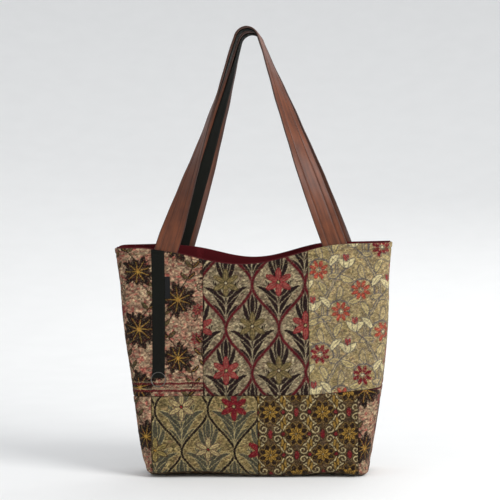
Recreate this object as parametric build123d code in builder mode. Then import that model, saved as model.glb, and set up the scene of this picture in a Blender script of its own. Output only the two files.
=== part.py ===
"""Patchwork tapestry tote bag with a red lining and two leather straps backed with webbing.

The bag is modelled as it hangs: the straps drawn up to one hook, the rim sagging between them.
Millimetres, +Z up, origin under the middle of the base, front of the bag towards -Y.
"""

import os
from math import asin, atan2, cos, degrees, hypot, radians, sin, sqrt, tan

from build123d import *

os.makedirs("parts", exist_ok=True)

# Bag body
rim_height = 365.0
rim_width = 440.0
rim_depth = 56.0
rim_corner_radius = 20.0
hem_drop = 40.0
side_bulge = 11.0
waist_depth = 104.0
waist_corner_radius = 24.0
base_width = 352.0
base_depth = 120.0
base_corner_radius = 26.0
base_round = 14.0
round_steps = 3
front_sag = 31.0
front_sag_span = 356.0
front_sag_x = -14.0
back_sag = 21.0
back_sag_span = 250.0

# Cloth
shell_wall = 2.0
lining_wall = 1.2
lining_proud = 1.6
seam_gap = 0.6

# Seams of the patchwork
row_seam_height = 128.0
base_seam_height = 4.0
upper_middle_width = 168.0
upper_middle_x = 4.0
lower_seam_x = 6.0
side_wrap = 13.0

# Leather straps and the webbing on their inner face
strap_width = 38.0
strap_thickness = 2.4
strap_spacing = 262.0
strap_top_height = 710.0
strap_end_depth = 32.0
strap_edge_bevel = 0.6
stitch_groove_depth = 0.5
stitch_groove_width = 1.4
webbing_width = 20.0
webbing_thickness = 1.4
hook_radius = 17.0
twist_start = 14.0
twist_sections = 11
sewing_clearance = 0.1
strap_end_clearance = 0.9

# Webbing band with a key ring, and bare label tab, on the front
band_corner_gap = 11.93
band_foot_lift = 29.0
band_turn_length = 15.0
ring_overhang = 2.3
ring_wire = 1.6
ring_clearance = 0.1
label_width = 8.0
label_length = 35.0
label_thickness = 0.8
label_drop = 48.0

# How far cutting shapes run past what they cut
overrun = 10.0

hem_height = rim_height - hem_drop
stock_height = rim_height + overrun
reach = rim_width + strap_top_height
waist_width = base_width + (rim_width - base_width) * row_seam_height / rim_height + side_bulge


def wall_width(height):
    """Width of the bag between the row seam and the rim, where its sides run straight."""
    rise_share = (height - row_seam_height) / (rim_height - row_seam_height)
    return waist_width + (rim_width - waist_width) * rise_share


wall_sections = [
    (row_seam_height, waist_width, waist_depth, waist_corner_radius),
    (hem_height, wall_width(hem_height), rim_depth, rim_corner_radius),
    (stock_height, wall_width(stock_height), rim_depth, rim_corner_radius),
]


def bag_section(width, depth, radius):
    """Rectangle with each corner turned in a few flat folds, as cloth turns."""
    corners = [(1, 1, 0), (-1, 1, 90), (-1, -1, 180), (1, -1, 270)]
    outline = []
    for across_sign, along_sign, first_angle in corners:
        for step in range(round_steps + 1):
            angle = radians(first_angle + 90 * step / round_steps)
            x = across_sign * (width / 2 - radius) + radius * cos(angle)
            y = along_sign * (depth / 2 - radius) + radius * sin(angle)
            outline.append((x, y))
    with BuildSketch() as section:
        with BuildLine():
            Polyline(*outline, close=True)
        make_face()
    return section.sketch


def bag_form(inset):
    """Solid form of the bag up to its untrimmed top, drawn in from the outer face by inset."""
    inner_round = base_round - inset
    with BuildPart() as form:
        for step in range(round_steps + 1):
            angle = radians(90) * step / round_steps
            margin = base_round - inner_round * sin(angle)
            width = base_width - 2 * margin
            depth = base_depth - 2 * margin
            with BuildSketch(Plane.XY.offset(base_round - inner_round * cos(angle))):
                add(bag_section(width, depth, base_corner_radius - margin))
        for height, width, depth, radius in wall_sections:
            with BuildSketch(Plane.XY.offset(height)):
                add(bag_section(width - 2 * inset, depth - 2 * inset, radius - inset))
        loft(ruled=True)
    return form.part


def above_rim(lift):
    """Everything over the sagging rim line, which is set higher by lift."""
    level = rim_height + lift
    sags = [(front_sag, front_sag_span, front_sag_x, 1), (back_sag, back_sag_span, 0, -1)]
    with BuildPart() as waste:
        for sag, span, middle, outward in sags:
            with BuildSketch(Plane.XZ):
                with BuildLine():
                    Line((-reach, level), (middle - span / 2, level))
                    Spline(
                        (middle - span / 2, level),
                        (middle, level - sag),
                        (middle + span / 2, level),
                        tangents=[(1, 0), (1, 0)],
                    )
                    Polyline(
                        (middle + span / 2, level),
                        (reach, level),
                        (reach, reach),
                        (-reach, reach),
                        (-reach, level),
                    )
                make_face()
            extrude(amount=outward * reach)
    return waste.part


outer_form = bag_form(0)
lining_form = bag_form(shell_wall)
room_form = bag_form(shell_wall + lining_wall)
shell_waste = above_rim(0)
lining_waste = above_rim(lining_proud)

# Outer cloth before it is cut into patches
with BuildPart() as shell:
    add(outer_form)
    add(lining_form, mode=Mode.SUBTRACT)
    add(shell_waste, mode=Mode.SUBTRACT)


def span_box(x_span, y_span, z_span):
    """Box between the given limits."""
    spans = (x_span, y_span, z_span)
    with BuildPart() as block:
        with Locations(tuple((low + high) / 2 for low, high in spans)):
            Box(*(high - low for low, high in spans))
    return block.part


def between(low, high):
    """Limits of a patch between two seams, drawn in by its share of the seam gap."""
    return low + seam_gap / 2, high - seam_gap / 2


side_seam_x = base_width / 2 - side_wrap
upper_left_seam_x = upper_middle_x - upper_middle_width / 2
upper_right_seam_x = upper_middle_x + upper_middle_width / 2
upper_row = between(row_seam_height, reach)
lower_row = between(base_seam_height, row_seam_height)
front = between(-reach, 0)
back = between(0, reach)
across = (-reach, reach)

patches = {
    "front_upper_left_patch": (between(-reach, upper_left_seam_x), front, upper_row),
    "front_upper_middle_patch": (between(upper_left_seam_x, upper_right_seam_x), front, upper_row),
    "front_upper_right_patch": (between(upper_right_seam_x, reach), front, upper_row),
    "front_lower_left_patch": (between(-side_seam_x, lower_seam_x), front, lower_row),
    "front_lower_right_patch": (between(lower_seam_x, side_seam_x), front, lower_row),
    "left_side_panel": (between(-reach, -side_seam_x), across, lower_row),
    "right_side_panel": (between(side_seam_x, reach), across, lower_row),
    "back_upper_panel": (across, back, upper_row),
    "back_lower_panel": (between(-side_seam_x, side_seam_x), back, lower_row),
    "base_panel": (across, across, between(-reach, base_seam_height)),
}
for name, spans in patches.items():
    with BuildPart() as patch:
        add(shell.part)
        add(span_box(*spans), mode=Mode.INTERSECT)
    patch.part.label = name
    export_step(patch.part, f"parts/{name}.step")

# Line of a strap: a straight leg from each end, tangent to the round of the hook
strap_round = hook_radius + webbing_thickness + sewing_clearance + strap_thickness / 2
hook_height = strap_top_height - strap_round - strap_thickness / 2
foot_x = strap_spacing / 2
hook_rise = hook_height - rim_height
leg_lean = atan2(foot_x, hook_rise) - asin(strap_round / hypot(foot_x, hook_rise))
leg_length = hypot(foot_x, hook_rise) * cos(asin(strap_round / hypot(foot_x, hook_rise)))
strap_y = -(rim_depth / 2 - shell_wall - strap_end_clearance - strap_thickness / 2)
leg_direction = Vector(sin(leg_lean), 0, cos(leg_lean))
foot_point = Vector(-foot_x, strap_y, rim_height)
hook_axis = Axis((0, 0, hook_height), (0, 1, 0))


def leg_plane(distance):
    """Section plane of the front strap's left leg, this far along it from the rim.

    The leather lies flat to the bag at the rim and has turned edge-on where it meets the hook.
    """
    turn = radians(90) * max(0, distance - twist_start) / (leg_length - twist_start)
    level = Vector(cos(leg_lean), 0, -sin(leg_lean))
    return Plane(
        origin=foot_point + leg_direction * distance,
        x_dir=level * cos(turn) + Vector(0, -1, 0) * sin(turn),
        z_dir=leg_direction,
    )


def strap_section():
    """Section of the leather: bevelled edges on the outer face, and a groove along each stitch line."""
    outer = -strap_thickness / 2
    groove_x = (webbing_width - stitch_groove_width) / 2
    half_groove = stitch_groove_width / 2
    with BuildSketch() as section:
        Rectangle(strap_width, strap_thickness)
        chamfer(section.vertices().group_by(Axis.Y)[0], length=strap_edge_bevel)
        with Locations((-groove_x, outer), (groove_x, outer)):
            with BuildLine():
                Polyline((-half_groove, 0), (half_groove, 0), (0, stitch_groove_depth), close=True)
            make_face(mode=Mode.SUBTRACT)
    return section.sketch


def webbing_section():
    """Section of the webbing that is sewn to the inner face of the leather."""
    with BuildSketch() as section:
        with Locations((0, strap_thickness / 2 + sewing_clearance + webbing_thickness / 2)):
            Rectangle(webbing_width, webbing_thickness)
    return section.sketch


def strap_loop(section):
    """One strap's full loop of the given section: two ends, two twisted legs and the round of the hook."""
    with BuildPart() as loop:
        with BuildSketch(leg_plane(-strap_end_depth)):
            add(section)
        extrude(amount=strap_end_depth + twist_start)
        for step in range(twist_sections):
            along_share = step / (twist_sections - 1)
            with BuildSketch(leg_plane(twist_start + (leg_length - twist_start) * along_share)):
                add(section)
        loft(ruled=True)
        with BuildSketch(leg_plane(leg_length)):
            add(section)
        revolve(axis=hook_axis, revolution_arc=90 - degrees(leg_lean))
        mirror(about=Plane.YZ)
    return loop.part


leather_loop = strap_loop(strap_section())
webbing_loop = strap_loop(webbing_section())

with BuildPart() as front_strap:
    add(leather_loop)
front_strap.part.label = "front_strap"
export_step(front_strap.part, "parts/front_strap.step")

with BuildPart() as front_strap_webbing:
    add(webbing_loop)
front_strap_webbing.part.label = "front_strap_webbing"
export_step(front_strap_webbing.part, "parts/front_strap_webbing.step")

with BuildPart() as back_strap:
    add(leather_loop)
    mirror(about=Plane.XZ, mode=Mode.REPLACE)
back_strap.part.label = "back_strap"
export_step(back_strap.part, "parts/back_strap.step")

with BuildPart() as back_strap_webbing:
    add(webbing_loop)
    mirror(about=Plane.XZ, mode=Mode.REPLACE)
back_strap_webbing.part.label = "back_strap_webbing"
export_step(back_strap_webbing.part, "parts/back_strap_webbing.step")

# Lining, with a pocket in its hem for each strap end
strap_stack = strap_end_clearance + strap_thickness + sewing_clearance + webbing_thickness
pocket_inner_x = foot_x - strap_width / 2 / cos(leg_lean) - lining_wall
pocket_width = strap_width / cos(leg_lean) + strap_end_depth * tan(leg_lean) + 2 * lining_wall
pocket_outer_x = pocket_inner_x + pocket_width
pocket_floor = rim_height - strap_end_depth - strap_width / 2 * sin(leg_lean) - lining_wall
pocket_form = bag_form(shell_wall + strap_stack + lining_wall)

with BuildPart() as pockets:
    add(lining_form)
    add(pocket_form, mode=Mode.SUBTRACT)
    add(
        [
            span_box((-pocket_outer_x, -pocket_inner_x), across, (pocket_floor, reach)),
            span_box((pocket_inner_x, pocket_outer_x), across, (pocket_floor, reach)),
        ],
        mode=Mode.INTERSECT,
    )

with BuildPart() as lining:
    add(lining_form)
    add(room_form, mode=Mode.SUBTRACT)
    add(pockets.part)
    add(lining_waste, mode=Mode.SUBTRACT)
    for strap_piece in (front_strap, front_strap_webbing, back_strap, back_strap_webbing):
        add(strap_piece.part, mode=Mode.SUBTRACT)
lining.part.label = "lining"
export_step(lining.part, "parts/lining.step")


def sewn_on(thickness, x_span, z_span):
    """Flat strip of this thickness that lies on the front of the bag."""
    with BuildPart() as strip:
        add(bag_form(-thickness))
        add(span_box(x_span, front, z_span), mode=Mode.INTERSECT)
        add(outer_form, mode=Mode.SUBTRACT)
    return strip.part


# Key ring, which hangs in the fold of the band and lies along the bag's sloping front
band_x = band_corner_gap + webbing_width / 2 + waist_corner_radius - waist_width / 2
band_span = (band_x - webbing_width / 2, band_x + webbing_width / 2)
band_foot = row_seam_height + band_foot_lift
ring_radius = webbing_width / 2 + ring_overhang - ring_wire / 2
ring_sink = sqrt((ring_radius - ring_wire / 2) ** 2 - (webbing_width / 2) ** 2)
ring_height = band_foot + webbing_thickness + ring_clearance - ring_sink
ring_room = ring_wire + 2 * ring_clearance
front_slope = (waist_depth - rim_depth) / 2 / (hem_height - row_seam_height)
front_lean = atan2(front_slope, 1)
ring_y = front_slope * (ring_height - row_seam_height) - waist_depth / 2 - webbing_thickness - ring_room / 2
ring_plane = Plane(
    origin=(band_x, ring_y, ring_height),
    x_dir=(1, 0, 0),
    z_dir=(0, -cos(front_lean), sin(front_lean)),
)

with BuildPart() as key_ring:
    with Locations(ring_plane):
        Torus(ring_radius, ring_wire / 2)
key_ring.part.label = "key_ring"
export_step(key_ring.part, "parts/key_ring.step")

# Webbing band down the front, its lower end folded up over the key ring
fold_foot = band_foot + webbing_thickness
fold_top = ring_height + ring_radius + ring_room
fold_thickness = 2 * webbing_thickness + ring_room

with BuildPart() as fold_room:
    add(sewn_on(webbing_thickness + ring_room, across, (fold_foot, fold_top)))
    add(sewn_on(webbing_thickness, across, (fold_foot, fold_top)), mode=Mode.SUBTRACT)

with BuildPart() as front_band:
    add(sewn_on(webbing_thickness, band_span, (band_foot, reach)))
    add(sewn_on(2 * webbing_thickness, band_span, (band_foot, band_foot + band_turn_length)))
    add(sewn_on(fold_thickness, band_span, (band_foot, fold_top + webbing_thickness)))
    add(fold_room.part, mode=Mode.SUBTRACT)
    add(shell_waste, mode=Mode.SUBTRACT)
front_band.part.label = "front_band"
export_step(front_band.part, "parts/front_band.step")

# Bare label tab sewn in beside the band
label_top = rim_height - label_drop
label_span = (band_span[1], band_span[1] + label_width)

with BuildPart() as label_tab:
    add(sewn_on(label_thickness, label_span, (label_top - label_length, label_top)))
label_tab.part.label = "label_tab"
export_step(label_tab.part, "parts/label_tab.step")
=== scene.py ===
"""Looks of the patchwork tapestry tote: woven patches, lining, leather straps and a pale studio.

Lengths are millimetres until a mesh is made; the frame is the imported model's own.
"""

from math import asin, atan2, cos, degrees, exp, hypot, pi, radians, sin

import bmesh
import bpy
import numpy as np
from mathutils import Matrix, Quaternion, Vector


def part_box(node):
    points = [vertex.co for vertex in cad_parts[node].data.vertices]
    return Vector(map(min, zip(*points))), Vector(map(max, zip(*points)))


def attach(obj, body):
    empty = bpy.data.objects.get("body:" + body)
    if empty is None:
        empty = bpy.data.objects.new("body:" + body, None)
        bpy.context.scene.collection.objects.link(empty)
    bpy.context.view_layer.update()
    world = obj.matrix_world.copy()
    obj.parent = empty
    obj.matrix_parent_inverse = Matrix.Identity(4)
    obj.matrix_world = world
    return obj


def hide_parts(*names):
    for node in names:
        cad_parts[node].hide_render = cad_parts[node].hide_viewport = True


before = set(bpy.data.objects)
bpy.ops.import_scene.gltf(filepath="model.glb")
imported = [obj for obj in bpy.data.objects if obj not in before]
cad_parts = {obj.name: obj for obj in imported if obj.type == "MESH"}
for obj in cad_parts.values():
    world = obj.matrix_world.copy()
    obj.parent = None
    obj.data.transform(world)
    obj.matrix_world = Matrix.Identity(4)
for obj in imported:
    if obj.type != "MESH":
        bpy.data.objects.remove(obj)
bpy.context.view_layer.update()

mm = 0.001


def node_box(node):
    """Lowest and highest corner of a CAD node, in millimetres."""
    low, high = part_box(node)
    return np.array(low) / mm, np.array(high) / mm


def between(lower, upper, axis):
    """Middle of the gap between two neighbouring nodes along an axis."""
    return (node_box(lower)[1][axis] + node_box(upper)[0][axis]) / 2


# Sizes taken from the frame
x_axis, z_axis = 0, 2
rim_half_width = node_box("back_upper_panel")[1][x_axis]
rim_height = node_box("back_upper_panel")[1][z_axis]
waist_half_width = node_box("right_side_panel")[1][x_axis]
row_height = between("front_lower_left_patch", "front_upper_left_patch", z_axis)
base_seam = between("base_panel", "front_lower_left_patch", z_axis)
upper_left_seam = between("front_upper_left_patch", "front_upper_middle_patch", x_axis)
upper_right_seam = between("front_upper_middle_patch", "front_upper_right_patch", x_axis)
lower_seam = between("front_lower_left_patch", "front_lower_right_patch", x_axis)
side_seam = between("front_lower_right_patch", "right_side_panel", x_axis)
band_low, band_high = node_box("front_band")
ring_low, ring_high = node_box("key_ring")
label_low, label_high = node_box("label_tab")
strap_top = node_box("front_strap")[1][z_axis]

# Shell
base_half_width = 176.0
base_half_depth = 60.0
waist_half_depth = 52.0
rim_half_depth = 28.0
base_round = 9.0
under_turn = 1.5
hem_drop = 40.0
hem_width = 10.0
shell_wall = 2.0
lining_proud = 1.6
lining_inset = 3.3
lining_turn = 6.0
lining_foot = 16.0
lining_floor = 3.4

# How the cloth hangs: the rim's sag and its ends, the flare of the left side, and the seam between the rows
front_sag = 31.0
front_sag_span = 356.0
front_sag_x = -14.0
back_sag = 21.0
back_sag_span = 250.0
front_left_dip = 1.5
front_right_dip = 2.0
back_left_rise = 3.5
rim_end_start = 110.0
rim_end_fade = 50.0
left_flare = 5.0
flare_start = 130.0
row_rise = 11.0
row_rise_start = 75.0
row_rise_fade = 60.0

# Slack: the swell of each wave, its lengths across, in depth and in height, and its phase
slack_waves = [(1.3, 41, 60, 90, 0.6), (0.9, 23, -37, -57, 2.1), (0.8, 75, 30, 33, 4.0)]
still_rim = 8.0
still_rim_fade = 70.0
still_foot = 4.0
still_foot_fade = 26.0

# Lower edge: its lift along the front and the back, and how that fades up the cloth and under the base
front_edge_x = np.array([-base_half_width, -78.0, -13.0, 52.0, 128.0, base_half_width])
front_edge_lift = np.array([5.0, 8.5, 4.2, 3.0, 6.2, 0.3])
back_edge_lift = 1.5
back_edge_waves = [(1.1, 25.0, 0.4), (0.7, 11.5, 2.0)]
edge_lift_top = 64.0
edge_lift_fade = 60.0
edge_lift_depth = 20.0
edge_depth_fade = 24.0

# Cloth
seam_gap = 0.6
half_gap = seam_gap / 2
seam_curl = 1.3
cloth_pitch = 0.88
plain_pitch = 1.4
relief = 0.3
thread_slip = 0.35
edge_blur = 0.9
edge_line = 0.85
patch_grain = 0.4
float_size = (2.4, 1.6)
edge_lines = np.array([0.0, 0.08, 0.25, 0.55, 1.0, 1.6])
edge_zone = 2.4
allowance_width = 8.0
allowance_rise = 0.4
allowance_ease = 3.0
hem_rise = 0.7
hem_groove = 0.9
hem_groove_spread = 2.2
hem_ease = 3.0

# Straps: sways set the left and right leg over, and hastes say how soon each leg makes its turn
strap_width = 38.0
strap_thickness = 2.4
strap_spacing = 262.0
strap_end = 32.0
webbing_width = 20.0
webbing_thickness = 1.4
sewing_gap = 0.1
strap_clearance = 0.9
hook_radius = 17.0
twist_start = 14.0
groove_offset = 9.3
groove_depth = 0.5
groove_spread = 0.4
edge_burnish = 1.6
edge_burnish_width = 1.4
edge_burnish_ease = 1.2
groove_burnish = 0.55
groove_burnish_spread = 0.5
inner_burnish = 0.25
front_sway = (-6.0, -1.0)
back_sway = (11.0, 5.0)
front_haste = (2.1, 0.2)
back_haste = (0.2, 0.2)
station_pitch = 3.0
leather_still = 40.0
leather_waves = [(0.35, 19.0, 14.0, 0.0), (0.25, 8.5, -6.0, 1.0)]
pocket_half_width = 44.0
pocket_shift = 2.0
pocket_drop = 16.0
pocket_slack = 0.5
pocket_side_ease = 6.0
pocket_foot_ease = 12.0
pocket_turn = 10.0
pocket_turn_ease = 8.0

# Stitches: pitch, length and radius, and how far in they are pulled
strap_stitch = (4.6, 3.2, 0.36)
strap_stitch_sink = 0.22
first_stitch = 2.0
hem_stitch = (4.2, 2.9, 0.34)
hem_stitch_sink = 0.35

# Band, label and ring
strip_edge = 0.7
strip_gap = 0.3
band_turn = 15.0
band_rise = 0.8
band_fold_rise = 2.6
band_fold_ease = 5.0
band_hem_rise = 0.6
band_hem_ease = 1.5
label_thickness = 0.9
ring_wire = 1.6

# Woven colours, as they look under even light
stone = (120, 107, 83)
sand = (160, 147, 115)
plum = (26, 15, 14)
wine = (72, 13, 19)
rose_red = (112, 26, 31)
brick = (122, 62, 54)
moss = (68, 60, 35)
straw = (130, 114, 66)
olive = (110, 94, 60)
ink = (16, 9, 8)
slate = (58, 58, 49)
cream = (160, 143, 98)
garnet = (96, 14, 19)
gold = (134, 116, 80)
barley = (152, 134, 94)
haze = (108, 95, 79)
ivory = (188, 174, 130)
blue_grey = (84, 78, 76)
coral = (148, 62, 46)
claret = (100, 20, 29)
beige = (138, 114, 90)
blush = (136, 92, 76)
scarlet = (126, 42, 41)
soot = (21, 13, 9)
honey = (152, 116, 46)
bark = (28, 17, 10)
brass = (128, 99, 44)
parchment = (166, 151, 112)
umber = (60, 45, 28)
walnut = (88, 68, 46)
cherry = (98, 20, 27)
ash = (86, 68, 56)


def smoothstep(value):
    """0 below 0, 1 above 1 and an even slope between."""
    share = np.clip(value, 0, 1)
    return share * share * (3 - 2 * share)


def joined(*coordinates):
    """Points made of arrays of their coordinates, spread to one shape."""
    return np.stack(np.broadcast_arrays(*coordinates), axis=-1)


def unit(angle):
    """Flat direction at an angle in degrees."""
    return np.array([cos(radians(angle)), sin(radians(angle))])


def linear_light(colour):
    """Linear light of colours of 0 to 255."""
    tone = np.clip(np.asarray(colour) / 255, 0, 1)
    return np.where(tone <= 0.04045, tone / 12.92, ((tone + 0.055) / 1.055) ** 2.4)


def bell(distance, spread):
    """Bell curve, 1 in its middle; its spread is in square millimetres."""
    return np.exp(-(distance**2) / spread)


def through(height, heights, values):
    """Smooth line through a few values given by height."""
    slopes = np.gradient(values, heights)
    spot = np.clip(np.searchsorted(heights, height) - 1, 0, len(heights) - 2)
    low, high = np.take(heights, spot), np.take(heights, spot + 1)
    span = high - low
    share = np.clip((height - low) / span, 0, 1.2)
    start, end = np.take(values, spot), np.take(values, spot + 1)
    rest = 1 - share
    return (
        start * rest**2 * (1 + 2 * share)
        + end * share**2 * (3 - 2 * share)
        + np.take(slopes, spot) * span * share * rest**2
        - np.take(slopes, spot + 1) * span * share**2 * rest
    )


hem_height = rim_height - hem_drop
hem_half_width = rim_half_width - (rim_half_width - waist_half_width) * hem_drop / (rim_height - row_height)
form_heights = np.array([base_round, row_height, hem_height, rim_height])
form_widths = np.array([base_half_width, waist_half_width, hem_half_width, rim_half_width])
form_depths = np.array([base_half_depth, waist_half_depth, rim_half_depth, rim_half_depth])
form_radii = np.array([26.0, 24.0, 20.0, 20.0])


def form(height):
    """Half width, half depth and corner radius of the bag at a height."""
    above = np.maximum(height, base_round)
    drop = np.clip(base_round - height, 0, base_round)
    margin = base_round - np.sqrt(base_round**2 - drop**2)
    lines = (form_widths, form_depths, form_radii)
    return tuple(through(above, form_heights, values) - margin for values in lines)


def quarter(height):
    """Length round the bag from the middle of its front to the middle of its side."""
    half_width, half_depth, radius = form(height)
    return half_width + half_depth - 2 * radius + radius * pi / 2


def round_about(along, half_width, half_depth, radius):
    """Points and outward directions at a length round a rectangle, from the front's middle towards +X."""
    front = half_width - radius
    corner = radius * pi / 2
    whole = front + corner + half_depth - radius
    lap = 4 * whole
    place = (along + lap / 2) % lap - lap / 2
    across_sign = np.where(place < 0, -1, 1)
    place = np.abs(place)
    depth_sign = np.where(place > whole, -1, 1)
    place = np.where(place > whole, 2 * whole - place, place)
    angle = np.clip((place - front) / radius, 0, pi / 2)
    x = np.minimum(place, front) + radius * np.sin(angle)
    y = -half_depth + radius * (1 - np.cos(angle)) + np.maximum(place - front - corner, 0)
    return across_sign * x, depth_sign * y, across_sign * np.sin(angle), -depth_sign * np.cos(angle)


def undulation(x, y, height):
    """Slack in the cloth: how far it swells out or falls in at a place."""
    swell = sum(
        size * np.sin(x / long_x + y / long_y + height / long_z + phase)
        for size, long_x, long_y, long_z, phase in slack_waves
    )
    below_rim = smoothstep((rim_height - still_rim - height) / still_rim_fade)
    return swell * below_rim * smoothstep((height - still_foot) / still_foot_fade)


def base_lift(x, y, height):
    """The lower edge of the cloth isn't level: how far it is lifted at a place."""
    back_waves = (size * np.sin(x / long_x + phase) for size, long_x, phase in back_edge_waves)
    back_edge = sum(back_waves, back_edge_lift)
    front_edge = np.maximum(through(x, front_edge_x, front_edge_lift), 0)
    low_down = smoothstep((edge_lift_top - height) / edge_lift_fade)
    near_edge = smoothstep((np.abs(y) - edge_lift_depth) / edge_depth_fade)
    return np.where(y < 0, front_edge, back_edge) * low_down * near_edge


def wall(along, height, out):
    """Points of the bag's wall at a length round it and a height, moved out from its outer face."""
    half_width, half_depth, radius = form(height)
    x, y, out_x, out_y = round_about(along, half_width, half_depth, radius)
    move = out + undulation(x, y, height)
    x = x + out_x * move
    y = y + out_y * move
    flare = left_flare * smoothstep((height - row_height) / (hem_height - row_height))
    x = x - flare * smoothstep((-x - flare_start) / (rim_half_width - flare_start))
    return joined(x, y, height + base_lift(x, y, height))


def rim_line(x, y):
    """Height of the rim, which sags between the straps and rises or dips a little at its ends."""
    sag = np.where(y < 0, front_sag, back_sag)
    middle = np.where(y < 0, front_sag_x, 0)
    span = np.where(y < 0, front_sag_span, back_sag_span)
    share = np.clip(2 * (x - middle) / span, -1, 1)
    front_dip = np.where(x < 0, front_left_dip, front_right_dip) * smoothstep(-y / rim_half_depth)
    back_rise = np.where(x < 0, back_left_rise, 0) * smoothstep(y / rim_half_depth)
    near_end = smoothstep((np.abs(x) - rim_end_start) / rim_end_fade)
    return rim_height - sag * (1 + np.cos(pi * share)) / 2 + near_end * (back_rise - front_dip)


def rim_over(along):
    """Rim height over a place round the bag."""
    x, y, _, _ = round_about(along, rim_half_width, rim_half_depth, form_radii[-1])
    return rim_line(x, y)


def row_line(along):
    """Height of the seam between the rows, which climbs towards the right side."""
    side = quarter(row_height)
    climb = smoothstep((along - row_rise_start) / (side - row_rise_start))
    return row_height + row_rise * climb * smoothstep((2 * side - side_seam - along) / row_rise_fade)



# Woven patterns
class Weave:
    """Cloth as it is woven: a colour and a relief for each point, drawn on in millimetres."""

    def __init__(self, across, up, ground, seed):
        self.random = np.random.default_rng(seed)
        rows, columns = across.shape
        pick_slip = self.random.normal(0, thread_slip, rows)[:, None]
        end_slip = self.random.normal(0, thread_slip, columns)[None, :]
        self.x = (across + pick_slip).ravel()
        self.y = (up + end_slip).ravel()
        self.colour = np.tile(np.array(ground, float), (self.x.size, 1))
        self.height = np.zeros(self.x.size)

    def lay(self, gap, colour, rise=1.0, where=slice(None), strength=1.0):
        """Weave in a colour where gap, the distance outside a shape, is below zero."""
        cover = strength * np.clip(0.5 - gap / edge_blur, 0, 1)
        self.colour[where] += cover[:, None] * (np.array(colour) - self.colour[where])
        self.height[where] += cover * (rise - self.height[where])

    def stroke(self, path, width, colour, rise=1.0):
        """Weave in a line along a path, of one width or a width for each of its points."""
        path = np.asarray(path, float)
        width = np.broadcast_to(width, len(path))
        reach = width.max() / 2 + 1
        low, high = path.min(axis=0) - reach, path.max(axis=0) + reach
        near = np.flatnonzero(
            (self.x > low[0]) & (self.x < high[0]) & (self.y > low[1]) & (self.y < high[1])
        )
        if near.size == 0:
            return
        x, y = self.x[near], self.y[near]
        gap = np.full(near.size, 1e6)
        for start, end, start_width, end_width in zip(path[:-1], path[1:], width[:-1], width[1:]):
            run = end - start
            share = np.clip(((x - start[0]) * run[0] + (y - start[1]) * run[1]) / max(run @ run, 1e-9), 0, 1)
            away = np.hypot(x - start[0] - share * run[0], y - start[1] - share * run[1])
            gap = np.minimum(gap, away - (start_width + (end_width - start_width) * share) / 2)
        self.lay(gap, colour, rise, near)

    def disc(self, centre, diameter, colour, rise=1.0):
        """Weave in a round spot."""
        self.stroke([centre, centre], diameter, colour, rise)

    def leaf(
        self, foot, angle, length, width, colour,
        edge=None, bend=0.0, vein=None, fullness=0.8, line=edge_line,
    ):
        """Weave in a leaf or petal from its foot, at an angle in degrees, bent to one side."""
        share = np.linspace(0, 1, 13)
        heading = radians(angle) + radians(bend) * share
        steps = np.stack([np.cos(heading), np.sin(heading)], axis=1) * length / (len(share) - 1)
        path = np.array(foot) + np.vstack([[0, 0], np.cumsum(steps[:-1], axis=0)])
        body = width * np.sin(pi * (0.04 + 0.92 * share)) ** fullness
        if edge is not None:
            self.stroke(path, body + 2 * line, edge, 0.7)
        self.stroke(path, body, colour)
        if vein is not None:
            self.stroke(path[2:-2], 0.9, vein, 0.6)

    def flower(
        self, centre, petals, length, width, colour, edge, heart,
        turn=90.0, line=edge_line, vein=plum,
    ):
        """Weave in an open flower whose petals have an edge and a vein."""
        for petal in range(petals):
            angle = turn + 360 * petal / petals
            foot = np.array(centre) + 0.16 * length * unit(angle)
            self.leaf(foot, angle, 0.84 * length, width, colour, edge, vein=vein, fullness=0.55, line=line)
        self.disc(centre, 0.32 * length, plum)
        self.disc(centre, 0.2 * length, heart)

    def curl(self, centre, size, start, turns, width, colour, rise=1.0):
        """Weave in a spiral that winds in to its centre."""
        share = np.linspace(0, 1, 26)
        angle = radians(start) + 2 * pi * turns * share
        radius = size * (1 - 0.85 * share)
        path = np.array(centre) + joined(radius * np.cos(angle), radius * np.sin(angle))
        self.stroke(path, width * (1 - 0.45 * share), colour, rise)

    def mottle(self, size_x, size_y):
        """Random field from 0 to 1 with blots of the given size."""
        u = (self.x - self.x.min()) / size_x
        v = (self.y - self.y.min()) / size_y
        table = self.random.random((int(v.max()) + 2, int(u.max()) + 2))
        column, row = u.astype(int), v.astype(int)
        right, up = smoothstep(u - column), smoothstep(v - row)
        low = table[row, column] * (1 - right) + table[row, column + 1] * right
        high = table[row + 1, column] * (1 - right) + table[row + 1, column + 1] * right
        return low * (1 - up) + high * up

    def blots(self, *kinds):
        """Mix in blots: a colour, a size across and up, a share of the cloth and a strength each."""
        for colour, size_x, size_y, share, strength in kinds:
            field = self.mottle(size_x, size_y)
            fade = smoothstep((field - 1 + share + 0.2) / 0.4)
            self.lay(1 - share - field, colour, 0.0, strength=strength * fade)

    def flecks(self, *kinds):
        """Let single threads show through: a colour, a share of the threads and a strength each."""
        for colour, share, strength in kinds:
            chance = self.random.random(self.x.size) < share
            self.colour[chance] += strength * (np.array(colour) - self.colour[chance])

    def grain(self, depth):
        """Lighten and darken the cloth float by float."""
        self.colour *= 1 + depth * (self.mottle(*float_size)[:, None] - 0.5)

    def columns(self, spacing, start):
        """Numbers of the columns that cover the cloth."""
        return counted(self.x.min() - spacing, self.x.max() + spacing, spacing, start[0])

    def repeats(self, spacing, drop, start, lead=0):
        """Column, row and place of each motif of a half-drop repeat; even columns drop where lead is 1."""
        for column in self.columns(spacing, start):
            foot = start[1] + (column + lead) % 2 * drop / 2
            for row in counted(self.y.min() - drop, self.y.max() + drop, drop, foot):
                yield column, row, start[0] + column * spacing, foot + row * drop

    def linear(self):
        """Colours as linear light, with an opaque fourth channel."""
        light = linear_light(self.colour)
        return np.hstack([light, np.ones((len(light), 1))])


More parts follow.
